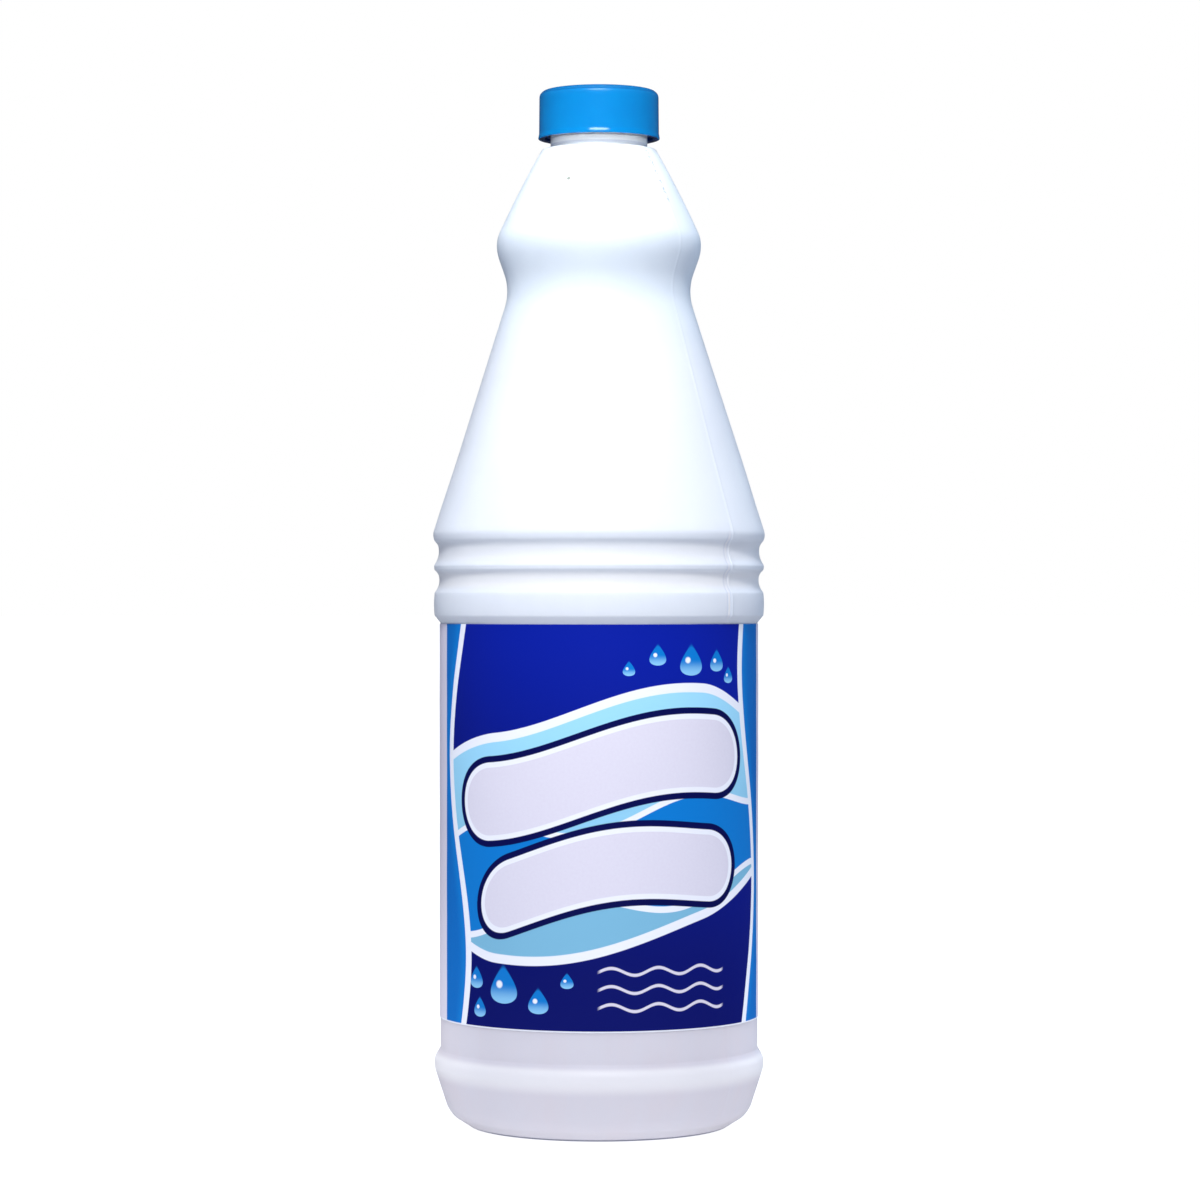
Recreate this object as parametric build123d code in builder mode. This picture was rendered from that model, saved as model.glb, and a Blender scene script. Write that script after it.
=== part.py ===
from build123d import *

import os

# One-litre bleach bottle: a blow-moulded bottle, a wrap-round label, a screw cap and the cap's sealing liner
# Millimetres: +Z runs up the bottle's axis, the origin is the middle of the foot, the label's front faces -Y

# Bottle: main radii
panel_radius = 40.95
waist_radius = 22.9
neck_radius = 12.5
neck_wall = 1.6

# Bottle: how far each form stands out from the one that carries it, or lies in from it
bulge_proud = 2.05
heel_inset = 4.3
foot_inset = 5.35
foot_width = 5.0
band_proud = 1.7
lower_groove_depth = 1.45
rib_proud = 2.2
upper_groove_depth = 1.8
shoulder_proud = 2.35
bulb_proud = 4.2
shoulder_top_proud = 2.3

# Bottle: height of each stretch, from the foot up
heel_height = 3.4
bulge_rise = 13.2
bulge_step = 3.8
panel_height = 109.1
band_step = 1.7
band_height = 6.1
lower_groove_height = 6.5
upper_groove_height = 7.2
cone_height = 64.3
bulb_underside = 11.8
bulb_topside = 24.6
neck_step = 0.5
neck_height = 12.1

# Bottle: wall, hollow under the base, and roundings
wall = 1.0
push_up = 4.5
heel_round = 7.0
bulge_round = 6.0
panel_round = 1.6
step_round = 0.6
band_foot_round = 1.5
band_round = 0.9
rib_round = 1.0
shoulder_round = 2.4
waist_round = 14.0
bulb_round = 9.5
bulb_swell = 0.35
shoulder_top_round = 1.0
neck_round = 0.4
rim_round = 0.4

# Screw thread, right-handed, with the same ridge on the neck and in the cap
thread_pitch = 4.233
thread_depth = 1.2
thread_flank_slope = 0.5
thread_radial_gap = 0.35
thread_flank_gap = 0.4
thread_bite = 0.5
neck_thread_rise = 4.8
neck_thread_drop = 2.0
cap_thread_rise = 1.9
cap_thread_drop = 3.2

# Cap and liner
cap_wall = 1.45
cap_draft = 0.1
cap_skirt_gap = 2.3
cap_top_thickness = 1.5
cap_top_round = 1.9
cap_bead_height = 1.5
cap_bead_proud = 0.2
liner_thickness = 1.2
liner_gap = 0.2

# Label, wrapped round the panel with its two ends apart at the back
label_thickness = 0.15
label_glue = 0.1
label_lower_margin = 7.6
label_upper_margin = 0.15
label_back_gap = 9.0

# Radii that follow
bulge_radius = panel_radius + bulge_proud
heel_radius = bulge_radius - heel_inset
foot_radius = heel_radius - foot_inset
foot_inner_radius = foot_radius - foot_width
band_radius = panel_radius + band_proud
lower_groove_radius = band_radius - lower_groove_depth
rib_radius = panel_radius + rib_proud
upper_groove_radius = rib_radius - upper_groove_depth
shoulder_radius = panel_radius + shoulder_proud
bulb_radius = waist_radius + bulb_proud
shoulder_top_radius = neck_radius + shoulder_top_proud
bore_radius = neck_radius - neck_wall
cap_inner_radius = neck_radius + thread_depth + thread_radial_gap
cap_radius = cap_inner_radius + cap_wall

# Heights above the foot
bulge_z = heel_height + bulge_rise
panel_z = bulge_z + bulge_step
panel_top_z = panel_z + panel_height
band_z = panel_top_z + band_step
band_top_z = band_z + band_height
rib_z = band_top_z + lower_groove_height
shoulder_z = rib_z + upper_groove_height
waist_z = shoulder_z + cone_height
bulb_z = waist_z + bulb_underside
shoulder_top_z = bulb_z + bulb_topside
neck_z = shoulder_top_z + neck_step
rim_z = neck_z + neck_height
cap_bottom_z = neck_z + cap_skirt_gap
cap_bead_z = cap_bottom_z + cap_bead_height
cap_roof_z = rim_z + liner_thickness
cap_top_z = cap_roof_z + cap_top_thickness

# Thread: where the neck ridge and the cap ridge face each other, each fills half a pitch less the flank gap
facing_depth = (cap_inner_radius - neck_radius) / 2
thread_root_width = thread_pitch / 2 - thread_flank_gap + 2 * thread_flank_slope * facing_depth
neck_thread_z = neck_z + neck_thread_rise
neck_thread_turns = (rim_z - neck_thread_drop - neck_thread_z) / thread_pitch
cap_thread_z = cap_bottom_z + cap_thread_rise
cap_thread_turns = (rim_z - cap_thread_drop - cap_thread_z) / thread_pitch
cap_thread_angle = 360 * (cap_thread_z + thread_pitch / 2 - neck_thread_z) / thread_pitch


def bottle_section(inset, neck_side_radius, top_z):
    """Half section of the bottle's outline, moved in by inset at the sides and up by inset at the foot."""
    roundings = {
        (heel_radius - inset, heel_height): heel_round,
        (bulge_radius - inset, bulge_z): bulge_round,
        (panel_radius - inset, panel_z): panel_round,
        (panel_radius - inset, panel_top_z): step_round,
        (band_radius - inset, band_z): band_foot_round,
        (band_radius - inset, band_top_z): band_round,
        (rib_radius - inset, rib_z): rib_round,
        (shoulder_radius - inset, shoulder_z): shoulder_round,
        (waist_radius - inset, waist_z): waist_round,
        (bulb_radius - inset, bulb_z): bulb_round,
        (shoulder_top_radius - inset, shoulder_top_z - inset): shoulder_top_round,
        (neck_side_radius, neck_z - inset): neck_round,
    }
    with BuildSketch(Plane.XZ) as section:
        with BuildLine():
            lower_side = Polyline(
                (foot_radius - inset, inset),
                (heel_radius - inset, heel_height),
                (bulge_radius - inset, bulge_z),
                (panel_radius - inset, panel_z),
                (panel_radius - inset, panel_top_z),
                (band_radius - inset, band_z),
                (band_radius - inset, band_top_z),
            )
            lower_groove = ThreePointArc(
                lower_side @ 1,
                (lower_groove_radius - inset, (band_top_z + rib_z) / 2),
                (rib_radius - inset, rib_z),
            )
            upper_groove = ThreePointArc(
                lower_groove @ 1,
                (upper_groove_radius - inset, (rib_z + shoulder_z) / 2),
                (shoulder_radius - inset, shoulder_z),
            )
            upper_side = Polyline(
                upper_groove @ 1,
                (waist_radius - inset, waist_z),
                (bulb_radius - inset, bulb_z),
            )
            bulb_top = SagittaArc(
                upper_side @ 1,
                (shoulder_top_radius - inset, shoulder_top_z - inset),
                -bulb_swell,
            )
            neck_side = Polyline(
                bulb_top @ 1,
                (neck_side_radius, neck_z - inset),
                (neck_side_radius, top_z),
                (0, top_z),
                (0, push_up + inset),
            )
            dome = TangentArc(neck_side @ 1, (foot_inner_radius, inset), tangent=(1, 0))
            Line(dome @ 1, lower_side @ 0)
        make_face()
        for corner, radius in roundings.items():
            fillet(section.vertices().sort_by_distance((*corner, 0))[0], radius)
    return section.sketch


def thread_ridge(root_radius, turns, outward):
    """Helical ridge from angle 0 and height 0, standing out of root_radius if outward is 1 and into it if -1."""
    half_buried = thread_root_width / 2 + thread_flank_slope * thread_bite
    half_crest = thread_root_width / 2 - thread_flank_slope * thread_depth
    with BuildPart() as ridge:
        with BuildLine() as path:
            Helix(pitch=thread_pitch, height=turns * thread_pitch, radius=root_radius)
        start = Plane(origin=path.line @ 0, x_dir=(outward, 0, 0), z_dir=path.line % 0)
        with BuildSketch(start):
            with BuildLine():
                Polyline(
                    (-thread_bite, -half_buried),
                    (thread_depth, -half_crest),
                    (thread_depth, half_crest),
                    (-thread_bite, half_buried),
                    close=True,
                )
            make_face()
        sweep(path=path.wires()[0], is_frenet=True)
    return ridge.part


os.makedirs("parts", exist_ok=True)

# Bottle, blown in one piece with its neck and thread
neck_thread = thread_ridge(neck_radius, neck_thread_turns, 1)
with BuildPart() as bottle:
    revolve(bottle_section(0, neck_radius, rim_z), axis=Axis.Z)
    revolve(bottle_section(wall, bore_radius, rim_z), axis=Axis.Z, mode=Mode.SUBTRACT)
    rim_edges = bottle.faces().filter_by(Axis.Z).sort_by(Axis.Z)[-1].edges()
    fillet(rim_edges, rim_round)
    with Locations((0, 0, neck_thread_z)):
        add(neck_thread)
bottle.part.label = "bottle"
export_step(bottle.part, "parts/bottle.step")

# Label, a thin sheet glued round the panel
label_z = panel_z + label_lower_margin
label_top_z = panel_top_z - label_upper_margin
label_inner_radius = panel_radius + label_glue
with BuildPart() as label:
    with BuildSketch(Plane.XY.offset(label_z)):
        Circle(label_inner_radius + label_thickness)
        Circle(label_inner_radius, mode=Mode.SUBTRACT)
        with Locations((0, label_inner_radius)):
            Rectangle(label_back_gap, label_inner_radius, mode=Mode.SUBTRACT)
    extrude(amount=label_top_z - label_z)
label.part.label = "label"
export_step(label.part, "parts/label.step")

# Cap, moulded with its thread
cap_thread = thread_ridge(cap_inner_radius, cap_thread_turns, -1)
with BuildPart() as cap:
    with BuildSketch(Plane.XZ) as cap_section:
        with BuildLine():
            Polyline(
                (0, cap_top_z),
                (cap_radius - cap_draft, cap_top_z),
                (cap_radius, cap_bead_z),
                (cap_radius + cap_bead_proud, cap_bead_z - cap_bead_proud),
                (cap_radius + cap_bead_proud, cap_bottom_z),
                (cap_inner_radius, cap_bottom_z),
                (cap_inner_radius, cap_roof_z),
                (0, cap_roof_z),
                close=True,
            )
        make_face()
        top_corner = cap_section.vertices().sort_by_distance((cap_radius, cap_top_z, 0))[0]
        fillet(top_corner, cap_top_round)
    revolve(axis=Axis.Z)
    with Locations(Location((0, 0, cap_thread_z), (0, 0, cap_thread_angle))):
        add(cap_thread)
cap.part.label = "cap"
export_step(cap.part, "parts/cap.step")

# Liner, a soft disc trapped between the cap's roof and the mouth's rim
with BuildPart() as cap_liner:
    with BuildSketch(Plane.XY.offset(rim_z)):
        Circle(cap_inner_radius - liner_gap)
    extrude(amount=liner_thickness)
cap_liner.part.label = "cap_liner"
export_step(cap_liner.part, "parts/cap_liner.step")
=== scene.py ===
import math
import bpy
import numpy as np
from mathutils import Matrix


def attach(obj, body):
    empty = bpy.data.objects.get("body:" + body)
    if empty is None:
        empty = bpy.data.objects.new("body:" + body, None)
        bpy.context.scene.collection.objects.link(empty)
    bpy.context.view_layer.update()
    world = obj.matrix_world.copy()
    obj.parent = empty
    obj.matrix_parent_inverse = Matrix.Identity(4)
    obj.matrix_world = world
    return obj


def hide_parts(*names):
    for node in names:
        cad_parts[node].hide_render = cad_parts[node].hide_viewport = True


# One-litre bleach bottle: moulded bottle, screw cap with its foam liner, and a printed wrap-round label.
# Shapes are worked out in millimetres and go into the meshes in metres. The label's front faces -Y.

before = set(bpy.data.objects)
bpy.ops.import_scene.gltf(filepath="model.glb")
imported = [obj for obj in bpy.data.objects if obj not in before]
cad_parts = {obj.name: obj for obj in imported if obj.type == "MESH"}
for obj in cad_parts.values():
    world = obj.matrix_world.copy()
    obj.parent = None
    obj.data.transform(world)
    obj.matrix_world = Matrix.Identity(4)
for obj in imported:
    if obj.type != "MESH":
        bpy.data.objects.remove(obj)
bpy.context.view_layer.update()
mm = 0.001


# A value inside a material: arithmetic on it adds Math nodes, and node() adds any other node
class Wire:
    def __init__(self, tree, socket=None):
        self.tree = tree
        self.socket = socket

    def node(self, kind, settings=None, inputs=None, output=0):
        made = self.tree.nodes.new(kind)
        for name, value in (settings or {}).items():
            setattr(made, name, value)
        for name, value in (inputs or {}).items():
            if isinstance(value, Wire):
                self.tree.links.new(value.socket, made.inputs[name])
            else:
                made.inputs[name].default_value = value
        return Wire(self.tree, made.outputs[output])

    def math(self, operation, *values):
        return self.node("ShaderNodeMath", {"operation": operation}, dict(enumerate(values)))

    def __add__(self, other):
        return self.math("ADD", self, other)

    def __sub__(self, other):
        return self.math("SUBTRACT", self, other)

    def __rsub__(self, other):
        return self.math("SUBTRACT", other, self)

    def __mul__(self, other):
        return self.math("MULTIPLY", self, other)

    def __truediv__(self, other):
        return self.math("DIVIDE", self, other)

    def __pow__(self, other):
        return self.math("POWER", self, other)

    def __abs__(self):
        return self.math("ABSOLUTE", self)

    def __or__(self, other):
        return self.math("MAXIMUM", self, other)

    __radd__ = __add__
    __rmul__ = __mul__

    def wave(self, stretch, phase, size):  # sine of the stretched and shifted value
        return self.math("SINE", self * stretch + phase) * size

    def above(self, edge, soft=0.12):  # 0 below the edge, 1 above it, smooth over twice the soft width
        limits = {"Value": self - edge, "From Min": -soft, "From Max": soft}
        return self.node("ShaderNodeMapRange", {"interpolation_type": "SMOOTHSTEP"}, limits)

    def between(self, low, high, soft=0.12):
        return self.above(low, soft) * (1 - self.above(high, soft))

    def spread(self, low, high):  # 0 to 1 becomes low to high
        return self * (high - low) + low

    def part(self, axis):  # one of a vector's three numbers
        return self.node("ShaderNodeSeparateXYZ", None, {0: self}, axis)

    def measure(self, operation, *others):  # a number from vectors: a length, a distance or a dot product
        vectors = dict(enumerate((self, *others)))
        return self.node("ShaderNodeVectorMath", {"operation": operation}, vectors, "Value")

    def scaled(self, stretch):
        return self.node("ShaderNodeVectorMath", {"operation": "MULTIPLY"}, {0: self, 1: stretch})

    def grain(self, scale, detail=2.0):
        return self.node("ShaderNodeTexNoise", None, {"Vector": self, "Scale": scale, "Detail": detail})

    def blend(self, low, high):  # one colour where this value is 0, another where it is 1
        return self.node("ShaderNodeMix", {"data_type": "RGBA"}, {0: self, 6: low, 7: high}, 2)

    def over(self, colour, mask):  # this colour, with another laid over it where the mask is 1
        return mask.blend(self, colour)

    def bump(self, height, strength, distance):
        inputs = {"Strength": strength, "Distance": distance, "Height": height}
        return self.node("ShaderNodeBump", None, inputs)

    def feed(self, shader, name):
        self.tree.links.new(self.socket, shader.inputs[name])


def screenColour(red, green, blue):  # 0 to 255 as seen on a screen, made linear
    parts = np.array([red, green, blue]) / 255
    linear = np.where(parts > 0.04045, ((parts + 0.055) / 1.055) ** 2.4, parts / 12.92)
    return (*linear.tolist(), 1.0)


def startFinish(name, constants):
    material = bpy.data.materials.new(name)
    material.use_nodes = True
    shader = material.node_tree.nodes["Principled BSDF"]
    for socketName, value in constants.items():
        shader.inputs[socketName].default_value = value
    return material, shader, Wire(material.node_tree)


# Shapes

def arcThrough(first, middle, last, count=14):
    # Circle through three points, as complex numbers: points at even angles between the first and the last
    a, b, c = (complex(*point) for point in (first, middle, last))
    ratio = (c - a) / (b - a)
    centre = a + (b - a) * (ratio - abs(ratio) ** 2) / (2j * ratio.imag)
    turn = np.unwrap(np.angle(np.array([a, b, c]) - centre))
    angles = np.interp(np.linspace(0, 2, count + 2)[1:-1], [0, 1, 2], turn)
    points = centre + abs(a - centre) * np.exp(1j * angles)
    return np.column_stack([points.real, points.imag, np.full(count, np.nan)])


def grooveBetween(low, floorRadius, high, form, count=21):
    # Lopsided groove: the depth below the straight line from crest to crest is full at its floor, above the
    # middle, and falls off to each side as a power of the share of the way from the floor to the crest.
    # Points lie closer together near the crests.
    part = np.sin(np.linspace(-math.pi / 2, math.pi / 2, count + 2)[1:-1])
    middle = (np.array(low) + np.array(high)) / 2
    half = (np.array(high) - np.array(low)) / 2
    floorPart = form["grooveFloor"]
    upper = (np.maximum(part - floorPart, 0) / (1 - floorPart)) ** form["upperPower"]
    lower = (np.maximum(floorPart - part, 0) / (1 + floorPart)) ** form["lowerPower"]
    depth = (middle[0] - floorRadius) * (1 - upper - lower)
    rounding = np.full(count, np.nan)
    rounding[count // 2] = 0
    return np.column_stack([middle[0] + part * half[0] - depth, middle[1] + part * half[1], rounding])


def roundedOutline(corners, spacing, turnStep):
    # Running mean: every point of the straight-legged outline becomes the mean of the outline over a reach
    # to each side that cuts the corner as deep as a fillet of its rounding, so straight legs stay straight.
    # Rows of corners are radius, height and rounding, and the rounding is not a number along an arc.
    # The result is picked at even steps of length over spacing plus turning over turnStep.
    points = corners[:, :2]
    legs = np.diff(points, axis=0)
    along = np.append(0, np.cumsum(np.hypot(legs[:, 0], legs[:, 1])))
    heading = np.unwrap(np.arctan2(legs[:, 1], legs[:, 0]))
    turn = np.zeros(len(points))
    turn[1:-1] = np.abs(np.diff(heading))
    reach = corners[:, 2] * np.tan(turn / 2) / np.cos(turn / 4) ** 2
    known = ~np.isnan(reach)
    step = 0.01
    fine = np.arange(0, along[-1], step)
    window = np.interp(fine, along[known], np.maximum(reach[known], 5 * step))
    window = np.minimum(window, np.maximum(np.minimum(fine, fine[-1] - fine), step))
    line = np.column_stack([np.interp(fine, along, points[:, axis]) for axis in (0, 1)])
    total = np.vstack([np.zeros(2), np.cumsum((line[1:] + line[:-1]) / 2 * step, axis=0)])
    ahead = np.column_stack([np.interp(fine + window, fine, total[:, axis]) for axis in (0, 1)])
    behind = np.column_stack([np.interp(fine - window, fine, total[:, axis]) for axis in (0, 1)])
    smooth = (ahead - behind) / (2 * window[:, None])
    smooth[0] = line[0]
    smooth[-1] = line[-1]
    hops = np.diff(smooth, axis=0)
    hopLength = np.hypot(hops[:, 0], hops[:, 1])
    hopTurn = np.append(0, np.abs(np.diff(np.unwrap(np.arctan2(hops[:, 1], hops[:, 0])))))
    hopCost = hopLength / spacing(smooth[1:, 0], smooth[1:, 1]) + hopTurn / turnStep
    cost = np.append(0, np.cumsum(hopCost))
    picks = np.interp(np.linspace(0, cost[-1], int(cost[-1]) + 2), cost, fine)
    return np.column_stack([np.interp(picks, fine, smooth[:, axis]) for axis in (0, 1)])


def smoothRise(value):
    part = np.clip(value, 0, 1)
    return part * part * (3 - 2 * part)


def riseAndFall(height, span):
    # 0, then a smooth rise to 1, then a smooth fall to 0: the span has the start and the length of each
    riseFrom, riseLength, fallFrom, fallLength = span
    return smoothRise((height - riseFrom) / riseLength) * (1 - smoothRise((height - fallFrom) / fallLength))


def evenTurns(columns):
    return np.arange(columns) * 2 * math.pi / columns


def threadHeight(angles, height, run, thread):
    # Helical ridge as a height: its middle climbs one pitch a turn, its section is a smooth-shouldered
    # trapezium across the helix, and it fades out at its two ends
    turnsRound = ((angles - math.radians(run["startAngle"])) / (2 * math.pi)) % 1
    level = (height - run["startZ"]) / thread["pitch"]
    turns = turnsRound + np.round(level - turnsRound)
    offset = np.abs(level - turns) * thread["pitch"]
    flank = thread["flankSlope"] * thread["depth"]
    rise = smoothRise((thread["rootWidth"] / 2 - offset) / flank)
    ends = smoothRise(turns / thread["runOut"]) * smoothRise((run["turns"] - turns) / thread["runOut"])
    return thread["depth"] * rise * ends


def revolvedPiece(name, radius, height, angles):
    # Rings of a turned outline: row by row the point is radius times cosine, radius times sine, height.
    # The first and last rows lie on the axis and are closed with a fan round one point each.
    rows, columns = radius.shape
    ring = np.stack([radius * np.cos(angles), radius * np.sin(angles), height], axis=-1)
    poles = np.array([[0, 0, height[0].mean()], [0, 0, height[-1].mean()]])
    points = np.concatenate([ring[1:-1].reshape(-1, 3), poles]) * mm
    index = np.arange((rows - 2) * columns).reshape(rows - 2, columns)
    beside = np.roll(index, -1, axis=1)
    quads = np.stack([index[:-1], beside[:-1], beside[1:], index[1:]], axis=-1).reshape(-1, 4)
    firstPole = np.full(columns, (rows - 2) * columns)
    firstFan = np.column_stack([firstPole, beside[0], index[0]])
    lastFan = np.column_stack([firstPole + 1, index[-1], beside[-1]])
    return newPiece(name, points, quads.tolist() + firstFan.tolist() + lastFan.tolist())


def newPiece(name, points, faces):
    mesh = bpy.data.meshes.new(name)
    mesh.from_pydata(points, [], faces)
    mesh.polygons.foreach_set("use_smooth", np.ones(len(mesh.polygons), dtype=bool))
    mesh.update()
    piece = bpy.data.objects.new(name, mesh)
    bpy.context.scene.collection.objects.link(piece)
    return piece


# Bottle

bottleForm = {
    "panelRadius": 40.95, "waistRadius": 22.9, "neckRadius": 12.5, "neckWall": 1.6,
    "bulgeProud": 2.05, "heelInset": 4.3, "footInset": 5.35, "footWidth": 5.0,
    "bandProud": 1.7, "lowerGroove": 1.45, "ribProud": 2.2, "upperGroove": 1.8,
    "shoulderProud": 2.35, "bulbProud": 4.2, "shoulderTopProud": 2.3,
    "heelZ": 3.4, "bulgeZ": 16.6, "panelZ": 20.0, "panelTopZ": 129.5, "bandZ": 131.4, "bandTopZ": 137.3,
    "ribZ": 143.6, "shoulderZ": 151.3, "waistZ": 215.3, "bulbZ": 227.1, "shoulderTopZ": 251.7,
    "neckZ": 252.2, "rimZ": 264.3,
    # Roundings of the corners, from the foot up
    "innerFootRound": 1.5, "footRound": 1.2, "heelRound": 7.0, "bulgeRound": 6.0, "panelRound": 0.9,
    "stepRound": 0.6, "bandFootRound": 1.0, "bandTopRound": 0.9, "ribRound": 1.1, "shoulderRound": 2.3,
    "waistRound": 14.0, "bulbRound": 9.5, "shoulderTopRound": 1.0, "neckRound": 0.4, "rimRound": 0.5,
    "wall": 1.0, "pushUp": 4.5, "bulbSwell": 0.35,
    "bandCrown": 0.18,          # how far the band's two edges lie in from its middle
    "grooveFloor": 0.22,        # where a groove is deepest: -1 at its lower crest, 1 at its upper crest
    "upperPower": 2.6, "lowerPower": 2.2,   # 2 gives round sides, more gives flatter floors
    "partingAngle": -38.0,      # degrees round from +X; the other parting line is opposite
    "partingHeight": 0.1, "ribPartingHeight": 0.15, "partingWidth": 0.5,
    # Spans of height: start and length of the rise, start and length of the fall
    "partingSpan": (3, 4, 252, 1.5), "ribSpan": (129, 3, 152, 4), "slackSpan": (158, 14, 236, 12),
    "flashShare": 0.3, "flashStretch": (0.9, 0.37),     # uneven height along the parting line
    "weldHeight": 0.55, "weldWidth": 1.1, "weldReach": 23.0, "domeMargin": 0.5,
    "unevenness": 0.07,         # slight waviness of the blown walls
    "wavesRound": (3, 5), "wavesUp": (0.045, 0.08),
    "threadAboveNeck": 1.0, "threadBelowRim": 0.6,
    "columns": 250, "crowding": 0.43, "domeRows": 20,
    "rowStep": 2.2, "threadRowStep": 0.24, "turnStep": 0.15, "insideRowStep": 8.0, "insideTurnStep": 0.3,
}
screwThread = {"pitch": 4.233, "depth": 1.2, "flankSlope": 0.5, "rootWidth": 2.4915, "runOut": 0.06}
neckThread = {"startZ": 257.0, "startAngle": 0.0, "turns": 1.25}


def bottleSide(form, inset, neckSide):
    # Corners from the foot up to the rim, moved in by the inset: radius, height and rounding
    panel = form["panelRadius"] - inset
    bulge = panel + form["bulgeProud"]
    heel = bulge - form["heelInset"]
    band = panel + form["bandProud"]
    rib = panel + form["ribProud"]
    waist = form["waistRadius"] - inset
    bulb = waist + form["bulbProud"]
    shoulderTop = form["neckRadius"] + form["shoulderTopProud"] - inset
    bandEnd = (band - form["bandCrown"], form["bandZ"])
    bandMiddle = (band, (form["bandZ"] + form["bandTopZ"]) / 2)
    bandTopEnd = (band - form["bandCrown"], form["bandTopZ"])
    ribEnd = (rib, form["ribZ"])
    shoulderEnd = (panel + form["shoulderProud"], form["shoulderZ"])
    bulbEnd = np.array([bulb, form["bulbZ"]])
    shoulderTopEnd = np.array([shoulderTop, form["shoulderTopZ"] - inset])
    chord = shoulderTopEnd - bulbEnd
    outward = np.array([chord[1], -chord[0]]) / np.hypot(*chord)
    swellMiddle = (bulbEnd + shoulderTopEnd) / 2 + outward * form["bulbSwell"]
    return np.vstack([
        [heel - form["footInset"], inset, form["footRound"]],
        [heel, form["heelZ"], form["heelRound"]],
        [bulge, form["bulgeZ"], form["bulgeRound"]],
        [panel, form["panelZ"], form["panelRound"]],
        [panel, form["panelTopZ"], form["stepRound"]],
        [*bandEnd, form["bandFootRound"]],
        arcThrough(bandEnd, bandMiddle, bandTopEnd),
        [*bandTopEnd, form["bandTopRound"]],
        grooveBetween(bandTopEnd, band - form["lowerGroove"], ribEnd, form),
        [*ribEnd, form["ribRound"]],
        grooveBetween(ribEnd, rib - form["upperGroove"], shoulderEnd, form),
        [*shoulderEnd, form["shoulderRound"]],
        [waist, form["waistZ"], form["waistRound"]],
        [bulb, form["bulbZ"], form["bulbRound"]],
        arcThrough(bulbEnd, swellMiddle, shoulderTopEnd),
        [*shoulderTopEnd, form["shoulderTopRound"]],
        [neckSide, form["neckZ"] - inset, form["neckRound"]],
        [neckSide, form["rimZ"], form["rimRound"]],
    ])


def baseDome(form, inset):
    # Hollow under the base: a shallow circle arc from the middle out to the foot
    foot = form["panelRadius"] + form["bulgeProud"] - form["heelInset"] - form["footInset"]
    footInner = foot - form["footWidth"]
    ballRadius = (footInner ** 2 + form["pushUp"] ** 2) / (2 * form["pushUp"])
    radius = np.linspace(0, footInner, form["domeRows"])
    height = form["pushUp"] + inset - ballRadius + np.sqrt(ballRadius ** 2 - radius ** 2)
    rounding = np.full(len(radius), np.nan)
    rounding[0] = 0
    rounding[-1] = form["innerFootRound"]
    return np.column_stack([radius, height, rounding])


def buildBottle(form):
    boreRadius = form["neckRadius"] - form["neckWall"]
    outside = np.vstack([baseDome(form, 0), bottleSide(form, 0, form["neckRadius"])])
    inside = np.vstack([baseDome(form, form["wall"]), bottleSide(form, form["wall"], boreRadius)])

    def outsideSpacing(radius, height):  # close rows where the thread stands
        return np.where(height > form["neckZ"], form["threadRowStep"], form["rowStep"])

    def insideSpacing(radius, height):
        return np.full(len(radius), form["insideRowStep"])

    rim = np.array([[form["neckRadius"] - form["neckWall"] / 2, form["rimZ"], 0.0]])
    outer = roundedOutline(np.vstack([outside, rim]), outsideSpacing, form["turnStep"])
    inner = roundedOutline(np.vstack([inside, rim]), insideSpacing, form["insideTurnStep"])[::-1][1:]
    isOuter = np.append(np.ones(len(outer)), np.zeros(len(inner)))[:, None]
    outline = np.vstack([outer, inner])
    # Columns crowd towards the two parting lines: the angle is an even turn less a double-angle sine
    seam = math.radians(form["partingAngle"])
    even = evenTurns(form["columns"])
    angles = (even - form["crowding"] * np.sin(2 * (even - seam)))[None, :]
    radius = outline[:, :1] + 0 * angles
    height = outline[:, 1:] + 0 * angles
    # Parting line: a bell-shaped ridge by the distance from the mould's parting plane
    off = radius * np.sin(angles - seam)
    onSide = isOuter * riseAndFall(height, form["partingSpan"])
    share = form["flashShare"]
    slow, slower = form["flashStretch"]
    flash = 1 - share + share * np.sin(height * slow) * np.sin(height * slower + 1)
    proud = form["partingHeight"] + form["ribPartingHeight"] * riseAndFall(height, form["ribSpan"])
    parting = proud * flash * np.exp(-(off / form["partingWidth"]) ** 2) * onSide
    # Unevenness: slow waves round and up the cone and the bulb, none under the label or on the ribs
    slack = riseAndFall(height, form["slackSpan"]) * isOuter
    few, more = form["wavesRound"]
    long, short = form["wavesUp"]
    waves = np.sin(few * angles + height * long) + np.sin(more * angles - height * short + 2)
    # Base weld: the pinched ridge that crosses the hollow along the parting plane
    onBase = isOuter * (height < form["pushUp"] + form["domeMargin"])
    underneath = onBase * (1 - smoothRise(radius / form["weldReach"] * 2 - 1))
    weld = form["weldHeight"] * np.exp(-(off / form["weldWidth"]) ** 4) * underneath
    aboveFoot = height > form["neckZ"] + form["threadAboveNeck"]
    onNeck = isOuter * aboveFoot * (height < form["rimZ"] - form["threadBelowRim"])
    ridge = threadHeight(angles, height, neckThread, screwThread) * onNeck
    radius = radius + parting + form["unevenness"] * waves * slack + ridge
    return revolvedPiece("bottleShell", radius, height - weld, angles)


bottleShell = buildBottle(bottleForm)
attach(bottleShell, "bottle")
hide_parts("bottle")
print("bottle shell:", len(bottleShell.data.polygons), "faces")


# Cap and liner

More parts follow.
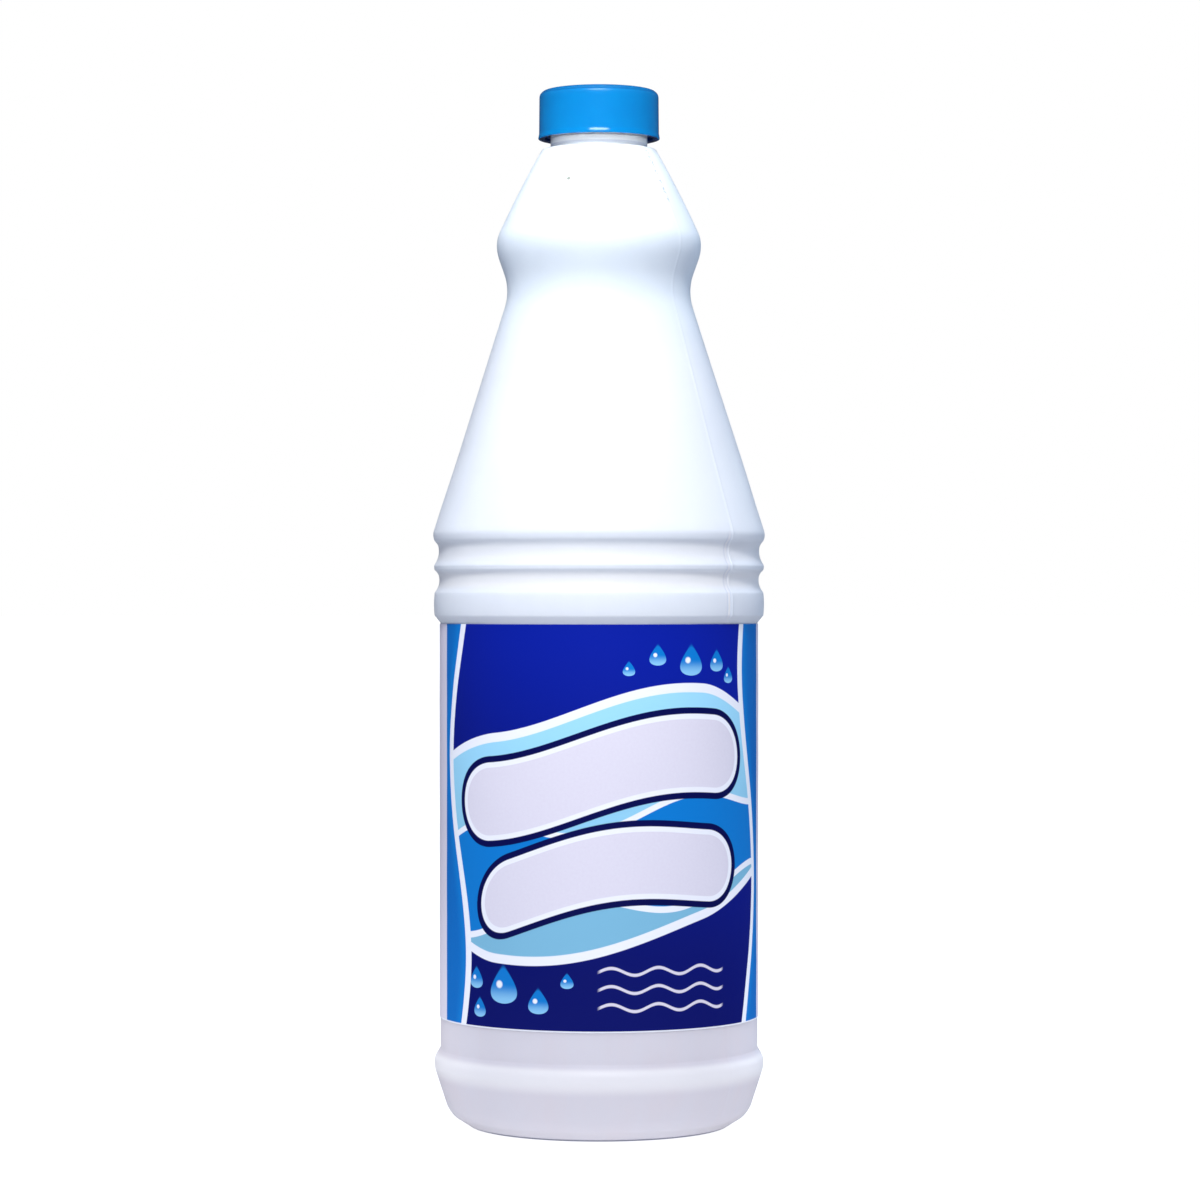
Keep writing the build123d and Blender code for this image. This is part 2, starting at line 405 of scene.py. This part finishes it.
capForm = {
    "innerRadius": 14.05, "radius": 15.5, "draft": 0.1, "beadProud": 0.2,
    "bottomZ": 254.5, "beadSlopeZ": 254.85, "beadZ": 255.9, "roofZ": 265.5, "topZ": 267.0,
    "topRound": 1.9, "edgeRound": 0.25, "mouthRound": 0.3, "roofRound": 0.5,
    "gateRadius": 1.4, "gateDepth": 0.25, "gateSlope": 0.3, "gateRound": 0.2,
    "columns": 220, "rowStep": 1.2, "threadRowStep": 0.24, "turnStep": 0.12,
    "boreReach": 0.2, "roofReach": 0.3, "boreMargin": 0.05,     # what counts as the threaded bore
}
capThread = {"startZ": 256.4, "startAngle": 128.9, "turns": 1.11}
linerForm = {
    "radius": 13.85, "lowZ": 264.3, "highZ": 265.5, "round": 0.3,
    "columns": 120, "rowStep": 0.9, "turnStep": 0.25,
}


def buildCap(form):
    bead = form["radius"] + form["beadProud"]
    gateZ = form["topZ"] - form["gateDepth"]
    corners = np.array([
        [0, form["roofZ"], 0],
        [form["innerRadius"], form["roofZ"], form["roofRound"]],
        [form["innerRadius"], form["bottomZ"], form["mouthRound"]],
        [bead, form["bottomZ"], form["edgeRound"]],
        [bead, form["beadSlopeZ"], form["edgeRound"]],
        [form["radius"], form["beadZ"], form["edgeRound"]],
        [form["radius"] - form["draft"], form["topZ"], form["topRound"]],
        [form["gateRadius"] + form["gateSlope"], form["topZ"], form["gateRound"]],
        [form["gateRadius"], gateZ, form["gateRound"]],
        [0, gateZ, 0],
    ], dtype=float)

    def spacing(radius, height):  # close rows where the thread stands
        inward = radius < form["innerRadius"] + form["boreReach"]
        threaded = inward & (height < form["roofZ"] - form["roofReach"])
        return np.where(threaded, form["threadRowStep"], form["rowStep"])

    outline = roundedOutline(corners, spacing, form["turnStep"])
    angles = evenTurns(form["columns"])[None, :]
    radius = outline[:, :1] + 0 * angles
    height = outline[:, 1:] + 0 * angles
    inBore = np.abs(radius - form["innerRadius"]) < form["boreMargin"]
    ridge = threadHeight(angles, height, capThread, screwThread) * inBore
    return revolvedPiece("capShell", radius - ridge, height, angles)


def buildLiner(form):
    corners = np.array([
        [0, form["lowZ"], 0],
        [form["radius"], form["lowZ"], form["round"]],
        [form["radius"], form["highZ"], form["round"]],
        [0, form["highZ"], 0],
    ], dtype=float)

    def spacing(radius, height):
        return np.full(len(radius), form["rowStep"])

    outline = roundedOutline(corners, spacing, form["turnStep"])
    angles = evenTurns(form["columns"])[None, :]
    return revolvedPiece("linerDisc", outline[:, :1] + 0 * angles, outline[:, 1:] + 0 * angles, angles)


capShell = buildCap(capForm)
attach(capShell, "cap")
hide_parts("cap")
linerDisc = buildLiner(linerForm)
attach(linerDisc, "seal")
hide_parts("cap_liner")
print("cap and liner:", len(capShell.data.polygons), "and", len(linerDisc.data.polygons), "faces")


# Label

labelForm = {
    "innerRadius": 41.05, "thickness": 0.15, "lowZ": 28.0, "highZ": 129.35, "backGap": 9.0,
    "edge": 0.06, "edgeRow": 0.15, "columns": 300, "rows": 60,
    "ripple": 0.03, "ripplesRound": (7, 3), "ripplesUp": (0.11, 0.23),
}


def buildLabel(form):
    # Thin sheet bent to a cylinder: one closed section, up the outer face and down the inner face, carried
    # round the panel. Its map has the arc length from the front's middle and the height from the middle.
    half = math.pi - math.asin(form["backGap"] / 2 / form["innerRadius"])
    turn = np.linspace(-half, half, form["columns"])[:, None]
    edge = form["edge"]
    rows = form["rows"]
    up = np.linspace(form["lowZ"] + edge, form["highZ"] - edge, rows)
    up[1] = up[0] + form["edgeRow"]     # close rows keep the shading flat up to the cut edges
    up[-2] = up[-1] - form["edgeRow"]
    height = np.concatenate([up, up[::-1]])[None, :]
    isOuter = np.concatenate([np.ones(rows), np.zeros(rows)])[None, :]
    # The inner face reaches a little past the outer one, so the cut edges slope
    middle = (form["lowZ"] + form["highZ"]) / 2
    halfHeight = (form["highZ"] - form["lowZ"]) / 2
    nearEdge = np.abs(height - middle) > halfHeight - 2 * edge
    height = height + edge * np.sign(height - middle) * (nearEdge & (isOuter < 0.5))
    many, few = form["ripplesRound"]
    long, short = form["ripplesUp"]
    swing = np.sin(many * turn + height * long) * np.sin(height * short + few * turn)
    radius = form["innerRadius"] + isOuter * (form["thickness"] + form["ripple"] * (swing - 1))
    points = np.stack([radius * np.sin(turn), -radius * np.cos(turn), height + 0 * turn], axis=-1)
    columns, around = points.shape[:2]
    index = np.arange(columns * around).reshape(columns, around)
    onward = np.roll(index, -1, axis=1)
    walls = np.stack([index[:-1], index[1:], onward[1:], onward[:-1]], axis=-1).reshape(-1, 4)
    # A strip of faces across the thickness closes each end
    outer = index[:, :rows]
    inner = index[:, ::-1][:, :rows]
    firstEnd = np.column_stack([outer[0, :-1], outer[0, 1:], inner[0, 1:], inner[0, :-1]])
    lastEnd = np.column_stack([outer[-1, 1:], outer[-1, :-1], inner[-1, :-1], inner[-1, 1:]])
    faces = np.concatenate([walls, firstEnd, lastEnd])
    piece = newPiece("labelWrap", points.reshape(-1, 3) * mm, faces.tolist())
    across = (form["innerRadius"] + form["thickness"]) * turn + 0 * height
    flat = np.stack([across, height - middle + 0 * turn], axis=-1).reshape(-1, 2) * mm
    corner = np.empty(len(piece.data.loops), dtype=np.int32)
    piece.data.loops.foreach_get("vertex_index", corner)
    layer = piece.data.uv_layers.new(name="labelPlace")
    layer.data.foreach_set("uv", flat[corner].ravel())
    return piece


labelWrap = buildLabel(labelForm)
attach(labelWrap, "bottle")
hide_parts("label")
print("label wrap:", len(labelWrap.data.polygons), "faces")


# Finishes: lengths in metres, but millimetres for specks, across the parting line and on the label's map

bottleLook = {
    "upperColour": screenColour(236, 244, 251), "lowerColour": screenColour(233, 221, 227),
    "bulbColour": screenColour(230, 243, 254), "litNeckColour": screenColour(246, 254, 255),
    "deepColour": screenColour(226, 231, 243), "speckColour": screenColour(128, 136, 128),
    "markAndShadeColour": screenColour(168, 178, 206), "bulgeSheenColour": screenColour(255, 251, 253),
    "paintedLightColour": screenColour(253, 254, 255), "roughness": (0.29, 0.38),
    "cloudScale": 26, "pebbleScale": 1500, "dimpleScale": 320, "dotScale": 1100,
    "streakStretch": (260, 260, 7), "bumpStrength": 0.16, "bumpDepth": 0.0003,
    # Heights: edge and softness
    "upperFrom": (0.08, 0.06), "neckFrom": (0.2521, 0.0002),
    "rubAndSheenFrom": (0.0135, 0.0018), "bulgeSheenTo": (0.0188, 0.0008),
    # Spans of height: low edge, high edge and softness
    "bulbSpan": (0.205, 0.25, 0.012), "bandSpan": (0.1315, 0.1372, 0.0006),
    "ribSpan": (0.1312, 0.152, 0.001),
    "lowerGrooveSpan": (0.1386, 0.1422, 0.001), "upperGrooveSpan": (0.1455, 0.1495, 0.001),
    "dotSpan": (0.237, 0.2515, 0.001), "neckFootSpan": (0.2524, 0.2531, 0.0002),
    # Across the parting line: low edge, high edge and softness
    "edgeLines": (-2.2, -0.4, 0.3), "highlightLine": (-1.7, -0.9, 0.25), "dotLine": (-0.5, 0.5, 0.15),
    # Specks: place and size in millimetres
    "specks": [(-7.7, -18.1, 242.5, 0.5), (9.5, -8.3, 250.3, 0.16), (13.6, -11.6, 245.5, 0.18)],
    "speckSoft": 0.12,
    # Edges in the grain patterns, then how strongly each mark shows
    "cloudSpan": (0.35, 0.65, 0.2), "dotFrom": (0.56, 0.03),
    "cloudShare": 0.3, "streakShare": 0.25, "upperGrooveShare": 0.6, "edgeShare": 0.28,
    "ribHighlightShare": 0.55, "dotShare": 0.8, "neckFootShadeShare": 0.45,
}


def bottleFinish(look):
    constants = {"Subsurface Weight": 0.4, "Subsurface Radius": (0.9, 0.95, 1.0), "Subsurface Scale": 0.005,
                 "IOR": 1.5}
    material, shader, start = startFinish("bottlePlastic", constants)
    place = start.node("ShaderNodeTexCoord", output="Object")
    cloud = place.grain(look["cloudScale"], 3)
    streak = place.scaled(look["streakStretch"]).grain(1.0, 3)
    pebble = place.grain(look["pebbleScale"], 2)
    height = place.part("Z")
    # Painted shade tint: the plastic is bluer above 80 mm and darker and more lilac below it
    colour = height.above(*look["upperFrom"]).blend(look["lowerColour"], look["upperColour"])
    clouded = cloud.between(*look["cloudSpan"]) * look["cloudShare"]
    colour = colour.over(look["deepColour"], clouded + streak * look["streakShare"])
    # Painted shade tint: the bulb is a little bluer so its shaded flanks read bluer
    colour = colour.over(look["bulbColour"], height.between(*look["bulbSpan"]))
    # Painted light: the neck just under the cap is lighter than the cap's shade would leave it
    colour = colour.over(look["litNeckColour"], height.above(*look["neckFrom"]))
    rubAndSheen = height.above(*look["rubAndSheenFrom"]) * (1 - height.above(*look["bulgeSheenTo"]))
    colour = colour.over(look["bulgeSheenColour"], rubAndSheen)      # painted highlight: a lighter band round the bulge, where light falls on its upward slope
    upperGroove = height.between(*look["upperGrooveSpan"]) * look["upperGrooveShare"]
    litGrooves = height.between(*look["lowerGrooveSpan"]) | upperGroove
    colour = colour.over(look["paintedLightColour"], litGrooves)     # painted light: the groove floors are lightened as if better lit
    for x, y, z, size in look["specks"]:
        gap = place.measure("DISTANCE", (x * mm, y * mm, z * mm))
        colour = colour.over(look["speckColour"], 1 - gap.above(size * mm, look["speckSoft"] * mm))
    # Parting line: a painted highlight line with dark edges across the ribs, and in front a dotted one on
    # the shoulder
    seam = math.radians(bottleForm["partingAngle"])
    off = place.measure("DOT_PRODUCT", (-math.sin(seam) / mm, math.cos(seam) / mm, 0))
    onRibs = height.between(*look["ribSpan"])
    onBand = height.between(*look["bandSpan"])
    edges = off.between(*look["edgeLines"]) * onRibs * look["edgeShare"]
    # Painted highlight along the parting ridge, full on the band and fainter on the ribs
    light = off.between(*look["highlightLine"]) * (onBand | onRibs * look["ribHighlightShare"])
    inFront = 1 - place.part("Y").above(0, 0.001)
    dots = off.between(*look["dotLine"]) * place.grain(look["dotScale"]).above(*look["dotFrom"])
    dotted = dots * inFront * height.between(*look["dotSpan"]) * look["dotShare"]
    neckFootShade = height.between(*look["neckFootSpan"]) * look["neckFootShadeShare"]    # painted shade: a grey ring in the corner at the neck's foot
    colour = colour.over(look["markAndShadeColour"], edges | dotted | neckFootShade)
    colour = colour.over(look["paintedLightColour"], light)
    colour.feed(shader, "Base Color")
    (cloud * 0.5 + pebble * 0.5).spread(*look["roughness"]).feed(shader, "Roughness")
    relief = streak * 0.5 + pebble * 0.25 + place.grain(look["dimpleScale"], 2) * 0.5
    place.bump(relief, look["bumpStrength"], look["bumpDepth"]).feed(shader, "Normal")
    return material


capLook = {
    "colour": screenColour(2, 119, 181), "deepColour": screenColour(2, 112, 175),
    "hollowShadeColour": screenColour(2, 20, 84), "shadedTopColour": screenColour(2, 96, 152),
    "roughness": (0.14, 0.2), "beadRoughness": 0.1, "topRoughness": 0.262,
    "cloudScale": 140, "pebbleScale": 1900, "flowStretch": (420, 420, 60),
    "bumpStrength": 0.12, "bumpDepth": 0.0002,
    # Edge and softness: the skirt by the distance from the axis, the others by height
    "skirtFrom": (0.01525, 0.00015), "hollowTo": (0.2661, 0.0002), "topFrom": (0.2660, 0.0003),
    "beadTo": (0.2558, 0.0002), "rubAndSheenFrom": (0.2649, 0.0004),
    "cloudFrom": (0.5, 0.25), "cloudShare": 0.6, "flowShare": 0.3, "hollowShare": 0.92,
}


def capFinish(look):
    constants = {"Subsurface Weight": 0.08, "Subsurface Radius": (0.1, 0.5, 1.0), "Subsurface Scale": 0.002,
                 "IOR": 1.5, "Specular IOR Level": 0.8}
    material, shader, start = startFinish("capPlastic", constants)
    place = start.node("ShaderNodeTexCoord", output="Object")
    cloud = place.grain(look["cloudScale"], 3)
    flow = place.scaled(look["flowStretch"]).grain(1.0, 2)
    pebble = place.grain(look["pebbleScale"], 2)
    height = place.part("Z")
    mottle = cloud.above(*look["cloudFrom"]) * look["cloudShare"] + flow * look["flowShare"]
    colour = mottle.blend(look["colour"], look["deepColour"])
    # Painted shade: the hollow of the cap, under its top and within its skirt, is darker
    fromAxis = place.scaled((1, 1, 0)).measure("LENGTH")
    hollow = (1 - fromAxis.above(*look["skirtFrom"])) * (1 - height.above(*look["hollowTo"]))
    colour = colour.over(look["hollowShadeColour"], hollow * look["hollowShare"])
    # Painted shade: the top face and the top of its rounding are darker
    colour = colour.over(look["shadedTopColour"], height.above(*look["topFrom"]))
    colour.feed(shader, "Base Color")
    # Fingers polish the bead round the bottom, and crates rub the top duller
    bead = 1 - height.above(*look["beadTo"])
    rubAndSheen = height.above(*look["rubAndSheenFrom"])
    rough = (cloud * 0.4 + pebble * 0.6).spread(*look["roughness"])
    rough = rough * (1 - bead) + bead * look["beadRoughness"]
    (rough * (1 - rubAndSheen) + rubAndSheen * look["topRoughness"]).feed(shader, "Roughness")
    place.bump(flow * 0.4 + pebble * 0.4, look["bumpStrength"], look["bumpDepth"]).feed(shader, "Normal")
    return material


linerLook = {
    "colour": screenColour(236, 237, 234), "poreColour": screenColour(204, 206, 204),
    "poreScale": 2600.0, "poreEdge": (0.45, 0.25), "bumpStrength": 0.5, "bumpDepth": 0.0002,
}


def linerFinish(look):
    material, shader, start = startFinish("linerFoam", {"Roughness": 0.85, "Specular IOR Level": 0.25})
    place = start.node("ShaderNodeTexCoord", output="Object")
    cells = {"Vector": place, "Scale": look["poreScale"]}
    pore = start.node("ShaderNodeTexVoronoi", {"feature": "F1"}, cells, "Distance")
    colour = (1 - pore.above(*look["poreEdge"])).blend(look["colour"], look["poreColour"])
    colour.feed(shader, "Base Color")
    place.bump(pore, look["bumpStrength"], look["bumpDepth"]).feed(shader, "Normal")
    return material


labelLook = {
    "navy": screenColour(2, 13, 104), "brightNavy": screenColour(2, 28, 156),
    "outline": screenColour(3, 8, 78),
    "azure": screenColour(3, 122, 204), "deepAzure": screenColour(3, 92, 178),
    "aqua": screenColour(160, 220, 246), "deepAqua": screenColour(126, 186, 214),
    "lilac": screenColour(222, 216, 228), "white": screenColour(242, 243, 249),
    "frontFrom": -50.6, "frontTo": 56.5, "fieldSlant": (0.3, 0.7), "fieldChange": (6, 36),
    # Waves: stretch, phase and size
    "slope": 0.13, "streamUp": 28, "streamDown": 27, "streamBorder": 2.3, "streamChange": (0, 36),
    "upperWave": (0.075, 0.4, 3.2), "lowerWave": (0.066, 2.2, 3.2),
    "narrowing": (46, 18), "narrowShare": 0.4,
    "crestLevels": (2.0, -19.5), "crestStretch": 0.11, "crestSize": 3.2, "crestBorder": 0.8,
    "leftEdge": 42.5, "leftWave": (0.062, 0.5, 4.5), "rightEdge": 47.5, "rightWave": (0.058, 2.4, 4.5),
    "sideWhite": 1.1, "sideAzure": -1.3, "sideShade": (-3.5, 2.0), "sideShare": 0.5,
    # Drops: across, up, size
    "drops": [(24.5, 42.4, 3.4), (33.0, 42.0, 2.4), (15.0, 43.5, 2.3), (37.6, 38.2, 1.8), (7.5, 40.0, 1.6),
              (-25.5, -38.5, 4.2), (-34.8, -37.6, 2.4), (-15.5, -42.5, 2.8), (-33.5, -45.0, 2.2),
              (-8.0, -37.5, 1.7)],
    "dropTall": 1.35, "dropEdge": (0.05, 0.05), "dropTip": (0.9, 0.1), "dropLight": (-0.5, 0.4),
    "dropShare": 0.7, "glintAcross": 0.3, "glintUp": 0.15, "glintSize": (0.05, 0.03),
    # Blank ribbons: middle, half length, level, half height, phase of the wave
    "ribbons": [(1.0, 31.0, 13.0, 9.6, 0.4), (3.0, 27.0, -12.5, 8.8, 1.3)],
    "ribbonStretch": 0.075, "ribbonSize": 3.0, "ribbonOutline": 1.8, "ribbonWhite": 0.2, "ribbonFill": -1.1,
    "ribbonInk": (0.75, 1.0),
    "strokes": [-35.5, -40.0, -44.5], "strokeWave": (0.52, 0, 0.9), "strokeHalf": 0.38,
    "strokeSpan": (0, 35, 0.6),
    # Blank panels at the back
    "panelFrom": 70, "panelTo": 120, "panelHalf": 43, "panelFrame": 0.7, "headFrom": 31,
    "waterLevel": 30, "waterWave": (0.21, 0, 3), "waterDepth": 5,
    "bareEdge": (-50.3, 0.1), "fleckScale": 1400, "wrinkleStretch": (30, 90, 1),
    "roughness": (0.285, 0.4), "bumpStrength": 0.12, "bumpDepth": 0.0008,
}


def labelFinish(look):
    constants = {"IOR": 1.5, "Specular IOR Level": 0.2}
    material, shader, start = startFinish("labelFilm", constants)
    flat = start.node("ShaderNodeUVMap", {"uv_map": "labelPlace"})
    u = flat.part("X") * 1000
    v = flat.part("Y") * 1000
    fleck = flat.grain(look["fleckScale"], 2)
    # Field: navy, brighter up and to the right
    slantU, slantV = look["fieldSlant"]
    field = (u * slantU + v * slantV).above(*look["fieldChange"])
    colour = field.blend(look["navy"], look["brightNavy"])
    # Stream: a broad wavy band rising to the right, pale above and azure below, with white edges
    rise = u * look["slope"]
    narrow = 1 - abs(u).above(*look["narrowing"]) * look["narrowShare"]
    upper = v - rise - narrow * (look["streamUp"] + u.wave(*look["upperWave"]))
    lower = v - rise + narrow * (look["streamDown"] + u.wave(*look["lowerWave"]))
    stream = v.above(*look["streamChange"]).blend(look["deepAqua"], look["aqua"])
    for level, shade in zip(look["crestLevels"], (look["azure"], look["deepAqua"])):
        crest = v - rise - level + u.wave(look["crestStretch"], level, look["crestSize"])
        stream = stream.over(shade, 1 - crest.above(0))
        stream = stream.over(look["white"], crest.between(-look["crestBorder"], look["crestBorder"]))
    border = look["streamBorder"]
    colour = colour.over(look["white"], lower.above(-border) * (1 - upper.above(border)))
    colour = colour.over(stream, lower.above(0) * (1 - upper.above(0)))
    # Sides: azure with a wavy white border
    left = u + look["leftEdge"] + v.wave(*look["leftWave"])
    right = look["rightEdge"] - u + v.wave(*look["rightWave"])
    side = left.math("MINIMUM", left, right)
    colour = colour.over(look["white"], 1 - side.above(look["sideWhite"]))
    colour = colour.over(look["azure"], 1 - side.above(look["sideAzure"]))
    colour = colour.over(look["deepAzure"], (1 - side.above(*look["sideShade"])) * look["sideShare"])
    # Drops: the square of the half width is the cube of one side of the height times the other side,
    # made 1 where it is fullest, halfway down the lower half
    fullest = 1.5 ** 3 * 0.5
    for middleU, middleV, size in look["drops"]:
        tall = (v - middleV) / (size * look["dropTall"])
        wide = (u - middleU) / size
        inside = ((1 - tall) | 0) ** 3 * (1 + tall) / fullest - wide * wide
        body = inside.above(*look["dropEdge"]) * (1 - tall.above(*look["dropTip"]))
        colour = colour.over(look["azure"], body)
        lighter = body * (1 - tall.above(*look["dropLight"])) * look["dropShare"]
        colour = colour.over(look["aqua"], lighter)
        glintU = wide + look["glintAcross"]
        glintV = (tall + look["glintUp"]) * look["dropTall"]
        glint = (glintU * glintU + glintV * glintV).above(*look["glintSize"])
        colour = colour.over(look["white"], 1 - glint)
    # Ribbons: two blank waving bands with round ends, by the distance from each one's wavy middle line
    for middle, length, level, thick, phase in look["ribbons"]:
        beyond = (abs(u - middle) - length) | 0
        off = v - level - rise - u.wave(look["ribbonStretch"], phase, look["ribbonSize"])
        gap = (beyond * beyond + off * off) ** 0.5 - thick
        colour = colour.over(look["outline"], 1 - gap.above(look["ribbonOutline"]))
        colour = colour.over(look["white"], 1 - gap.above(look["ribbonWhite"]))
        ink = (1 - gap.above(look["ribbonFill"])) * fleck.spread(*look["ribbonInk"])
        colour = colour.over(look["lilac"], ink)
    # Strokes: three thin water lines in the lower right
    for level in look["strokes"]:
        stroke = 1 - abs(v - level - u.wave(*look["strokeWave"])).above(look["strokeHalf"])
        colour = colour.over(look["lilac"], stroke * u.between(*look["strokeSpan"]))
    # Plain columns beyond the front, and a blank framed panel each side of the gap at the back
    colour = colour.over(look["lilac"], 1 - u.between(look["frontFrom"], look["frontTo"]))
    edging = look["panelFrame"]
    inPanel = abs(u).between(look["panelFrom"], look["panelTo"])
    inFrame = abs(u).between(look["panelFrom"] + edging, look["panelTo"] - edging)
    panel = inFrame * (1 - abs(v).above(look["panelHalf"] - edging))
    colour = colour.over(look["azure"], inPanel * (1 - abs(v).above(look["panelHalf"])))
    colour = colour.over(look["white"], panel)
    colour = colour.over(look["brightNavy"], inPanel * v.between(look["headFrom"], look["panelHalf"]))
    water = v + look["waterLevel"] + u.wave(*look["waterWave"])
    colour = colour.over(look["aqua"], panel * (1 - water.above(0)))
    colour = colour.over(look["azure"], panel * (1 - water.above(-look["waterDepth"])))
    # Unprinted edge along the bottom
    colour = colour.over(look["white"], 1 - v.above(*look["bareEdge"]))
    colour.feed(shader, "Base Color")
    wrinkle = flat.scaled(look["wrinkleStretch"]).grain(1.0, 3)
    (fleck * 0.4 + wrinkle * 0.6).spread(*look["roughness"]).feed(shader, "Roughness")
    flat.bump(wrinkle, look["bumpStrength"], look["bumpDepth"]).feed(shader, "Normal")
    return material


bottleShell.data.materials.append(bottleFinish(bottleLook))
capShell.data.materials.append(capFinish(capLook))
linerDisc.data.materials.append(linerFinish(linerLook))
labelWrap.data.materials.append(labelFinish(labelLook))
print("finishes:", [material.name for material in bpy.data.materials])


# Studio: floor, sky, lights and camera

studio = {
    "floorHalf": 30.0, "floorGlow": (0.92, 0.92, 0.93), "floorColour": (0.3, 0.3, 0.31, 1),
    "floorFade": (0.4, 0.3), "floorRows": 9,
    "skyAbove": (0.44, 0.50, 0.64), "skyBelow": (0.325, 0.36, 0.47), "skyChange": (-0.6, 0.8),
    "glossShare": 0.1,
    # Lights: place, aim, width in metres, power; cones in degrees
    "keyLight": ((-0.09, -0.56, 0.66), (0.0, -0.03, 0.22), 0.12, 20.8), "keyCone": 24.5,
    "neckLight": ((0.0, -1.0, 0.275), (0.0, 0.0, 0.2555), 0.02, 23.0), "neckCone": 3.6,
    "frontLight": ((-0.02, -1.0, 0.86), (0.0, 0.0, 0.13), 0.45, 2.4),
    "gleamLight": ((-0.005, -1.0, 0.79), (0.0, 0.0, 0.2), 0.72, 2.9), "gleamHeight": 0.17,
    "topLight": ((0.0, -0.05, 1.2), (0.0, 0.0, 0.2), 0.8, 7.5),
    "tableLight": ((0.0, 0.0, 0.0005), (0.0, 0.0, 1.0), 0.5, 0.5),
    "leftBackLight": ((-0.5, 0.85, 0.9), (0.0, 0.0, 0.17), 0.6, 2.0),
    "rightBackLight": ((0.7, 0.85, 0.45), (0.0, 0.0, 0.17), 0.6, 6.0), "rightTint": (0.55, 0.76, 1.0),
    "bulgeLight": ((-0.0024, -0.35, 0.75), (-0.0024, -0.042, 0.0175), 0.02, 2.2), "bulgeCone": 5.0,
    "leftHeelLight": ((-0.5, 0.4, 0.12), (-0.03, 0.0, 0.022), 0.05, 9.0),
    "rightHeelLight": ((0.5, 0.4, 0.12), (0.03, 0.0, 0.022), 0.05, 6.5), "heelCone": 9.0,
    "cameraPlace": (0.00026, -0.983, 0.1354), "cameraLens": 114.0, "sensorWidth": 36.0,
}


def buildFloor(look):
    # Flat grid: both parameters run evenly over the floor's width and depth
    side = np.linspace(-look["floorHalf"], look["floorHalf"], look["floorRows"])
    across, deep = np.meshgrid(side, side)
    points = np.column_stack([across.ravel(), deep.ravel(), np.zeros(across.size)])
    index = np.arange(across.size).reshape(across.shape)
    corners = [index[:-1, :-1], index[:-1, 1:], index[1:, 1:], index[1:, :-1]]
    faces = np.stack(corners, axis=-1).reshape(-1, 4)
    floor = newPiece("studioFloor", points, faces.tolist())
    constants = {"Base Color": look["floorColour"], "Roughness": 0.9, "Specular IOR Level": 0.0,
                 "Emission Strength": 1.0}
    material, shader, start = startFinish("palePaper", constants)
    place = start.node("ShaderNodeTexCoord", output="Object")
    fade = place.measure("LENGTH").above(*look["floorFade"])
    fade.blend((*look["floorGlow"], 1), (1, 1, 1, 1)).feed(shader, "Emission Color")
    floor.data.materials.append(material)
    floor.visible_diffuse = False
    floor.visible_glossy = False


def buildSky(look):
    # Soft surround: brighter above than below, and plain white where the camera looks straight at it
    world = bpy.data.worlds.new("softSurround")
    world.use_nodes = True
    bpy.context.scene.world = world
    start = Wire(world.node_tree)
    upward = start.node("ShaderNodeTexCoord", output="Generated")
    darkest, brightest = look["skyChange"]
    climb = {"Value": upward.part("Z"), "From Min": darkest, "From Max": brightest}
    mixing = start.node("ShaderNodeMapRange", {"interpolation_type": "SMOOTHSTEP"}, climb)
    sky = mixing.blend((*look["skyBelow"], 1), (*look["skyAbove"], 1))
    # Mirror-like rays see a dimmer surround, as if dark flags stood round the set
    flagged = start.node("ShaderNodeLightPath", output="Is Glossy Ray")
    share = 1 - flagged * (1 - look["glossShare"])
    sky = sky.scaled(start.node("ShaderNodeCombineXYZ", None, {0: share, 1: share, 2: share}))
    seen = start.node("ShaderNodeLightPath", output="Is Camera Ray")
    sky = sky.over((1, 1, 1, 1), seen)
    sky.feed(world.node_tree.nodes["Background"], "Color")


def placeLamp(name, light, place, aim, power):  # hidden from the camera and from gloss
    light.energy = power
    lamp = bpy.data.objects.new(name, light)
    lamp.location = place
    toward = np.array(aim) - np.array(place)
    flatLength = math.hypot(toward[0], toward[1])
    lamp.rotation_euler = (math.atan2(flatLength, -toward[2]), 0, math.atan2(-toward[0], toward[1]))
    lamp.visible_camera = False
    lamp.visible_glossy = False
    bpy.context.scene.collection.objects.link(lamp)
    return lamp


def softbox(name, tint=(1, 1, 1)):
    place, aim, width, power = studio[name]
    light = bpy.data.lights.new(name, "AREA")
    light.color = tint
    light.shape = "DISK"
    light.size = width
    placeLamp(name, light, place, aim, power)


def gleamPanel(name, height):  # a wide panel that shows only in gloss
    place, aim, width, power = studio[name]
    light = bpy.data.lights.new(name, "AREA")
    light.shape = "ELLIPSE"
    light.size = width
    light.size_y = height
    lamp = placeLamp(name, light, place, aim, power)
    lamp.visible_glossy = True
    lamp.visible_diffuse = False


def spotlight(name, cone):  # a snooted lamp, strongest at its aim and fading out to the edge of its cone
    place, aim, width, power = studio[name]
    light = bpy.data.lights.new(name, "SPOT")
    light.spot_size = math.radians(cone)
    light.spot_blend = 1.0
    light.shadow_soft_size = width / 2
    placeLamp(name, light, place, aim, power)


buildFloor(studio)
buildSky(studio)
spotlight("keyLight", studio["keyCone"])
spotlight("neckLight", studio["neckCone"])
softbox("frontLight")
gleamPanel("gleamLight", studio["gleamHeight"])
softbox("topLight")
softbox("tableLight")
softbox("leftBackLight")
softbox("rightBackLight", studio["rightTint"])
spotlight("bulgeLight", studio["bulgeCone"])
spotlight("leftHeelLight", studio["heelCone"])
spotlight("rightHeelLight", studio["heelCone"])

cameraData = bpy.data.cameras.new("photoCamera")
cameraData.lens = studio["cameraLens"]
cameraData.sensor_width = studio["sensorWidth"]
camera = bpy.data.objects.new("photoCamera", cameraData)
camera.location = studio["cameraPlace"]
camera.rotation_euler = (math.pi / 2, 0, 0)
bpy.context.scene.collection.objects.link(camera)
bpy.context.scene.camera = camera
bpy.context.scene.view_settings.view_transform = "Standard"
print("studio: floor, sky, eleven lights and the camera")
